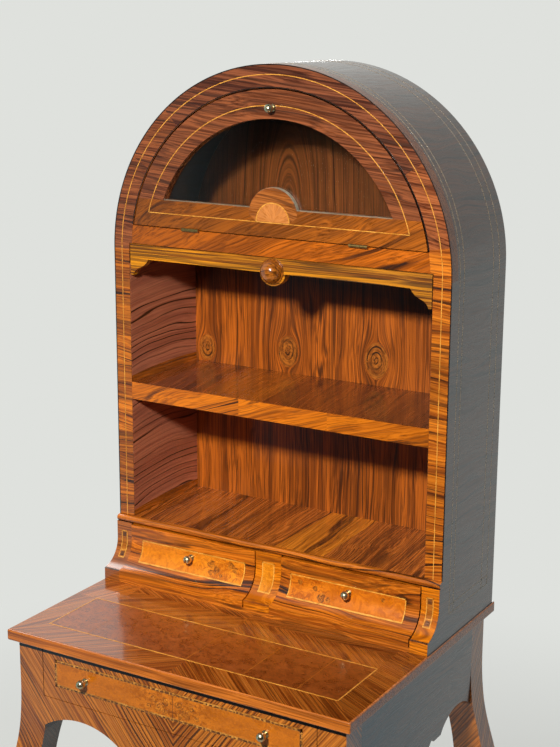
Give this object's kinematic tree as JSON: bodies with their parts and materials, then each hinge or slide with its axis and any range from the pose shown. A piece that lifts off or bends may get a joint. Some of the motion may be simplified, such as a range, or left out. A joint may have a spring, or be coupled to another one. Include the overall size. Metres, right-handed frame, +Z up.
{
  "type": "bonheur du jour",
  "caption": "Small lady's writing desk on cabriole legs with a frieze drawer, and an arched case with open shelves, small concave drawers, a pull-out slide and a glazed lunette flap.",
  "frame": {"origin": "on the floor under the middle of the table", "axes": "+X to the right as seen from the front, +Y to the back, +Z up"},
  "size_m": [0.609, 0.5092, 1.59],
  "materials": {
    "rosewood_veneer": "glossy shellac polish over crossbanded veneer",
    "oak": "satin polish, open grain",
    "secondary_wood": "plain planed wood",
    "aged_brass": "worn cast brass",
    "screw_steel": "plain steel",
    "clear_glass": "clear pane"
  },
  "bodies": {
    "desk": {"table_top": "rosewood_veneer", "case_screws": "screw_steel", "front_apron": "rosewood_veneer", "side_apron_left": "rosewood_veneer", "side_apron_right": "rosewood_veneer", "back_apron": "secondary_wood", "leg_front_left": "rosewood_veneer", "leg_front_right": "rosewood_veneer", "leg_back_left": "rosewood_veneer", "leg_back_right": "rosewood_veneer", "drawer_runner_left": "secondary_wood", "drawer_runner_right": "secondary_wood", "drawer_kicker_left": "secondary_wood", "drawer_kicker_right": "secondary_wood", "case_side_left": "rosewood_veneer", "case_side_right": "rosewood_veneer", "slide_runner_left": "secondary_wood", "slide_runner_right": "secondary_wood", "arch_top": "rosewood_veneer", "arch_ring": "rosewood_veneer", "door_rail": "rosewood_veneer", "door_stop": "rosewood_veneer", "lunette_floor": "rosewood_veneer", "middle_shelf": "rosewood_veneer", "case_floor": "rosewood_veneer", "floor_nose": "rosewood_veneer", "base_board": "secondary_wood", "base_divider": "rosewood_veneer", "case_back": "secondary_wood", "hinge_leaves_case": "aged_brass", "hinge_pins": "aged_brass", "hinge_screws_case": "aged_brass"},
    "door": {"door_arch": "rosewood_veneer", "door_bottom_rail": "rosewood_veneer", "door_glass": "clear_glass", "glazing_bead": "rosewood_veneer", "door_knob": "aged_brass", "hinge_leaves_door": "aged_brass", "hinge_screws_door": "aged_brass"},
    "slide": {"slide_front": "oak", "slide_board": "secondary_wood", "slide_knob": "oak"},
    "small_drawer_left": {"small_drawer_left_front": "rosewood_veneer", "small_drawer_left_side_left": "secondary_wood", "small_drawer_left_side_right": "secondary_wood", "small_drawer_left_back": "secondary_wood", "small_drawer_left_bottom": "secondary_wood", "small_drawer_left_knob": "aged_brass"},
    "small_drawer_right": {"small_drawer_right_front": "rosewood_veneer", "small_drawer_right_side_left": "secondary_wood", "small_drawer_right_side_right": "secondary_wood", "small_drawer_right_back": "secondary_wood", "small_drawer_right_bottom": "secondary_wood", "small_drawer_right_knob": "aged_brass"},
    "frieze_drawer": {"frieze_drawer_front": "rosewood_veneer", "frieze_drawer_side_left": "secondary_wood", "frieze_drawer_side_right": "secondary_wood", "frieze_drawer_back": "secondary_wood", "frieze_drawer_bottom": "secondary_wood", "frieze_drawer_knobs": "aged_brass"}
  },
  "joints": [
    {"name": "door_hinge", "type": "hinge", "parent": "desk", "child": "door", "pos_m": [0, 0.0395, 1.33925], "axis": [1, 0, 0], "range_deg": [0, 90]},
    {"name": "slide_pull", "type": "slide", "parent": "desk", "child": "slide", "axis": [0, -1, 0], "range_m": [0, 0.11]},
    {"name": "small_drawer_left_pull", "type": "slide", "parent": "desk", "child": "small_drawer_left", "axis": [0, -1, 0], "range_m": [0, 0.12]},
    {"name": "small_drawer_right_pull", "type": "slide", "parent": "desk", "child": "small_drawer_right", "axis": [0, -1, 0], "range_m": [0, 0.12]},
    {"name": "frieze_drawer_pull", "type": "slide", "parent": "desk", "child": "frieze_drawer", "axis": [0, -1, 0], "range_m": [0, 0.28]}
  ]
}
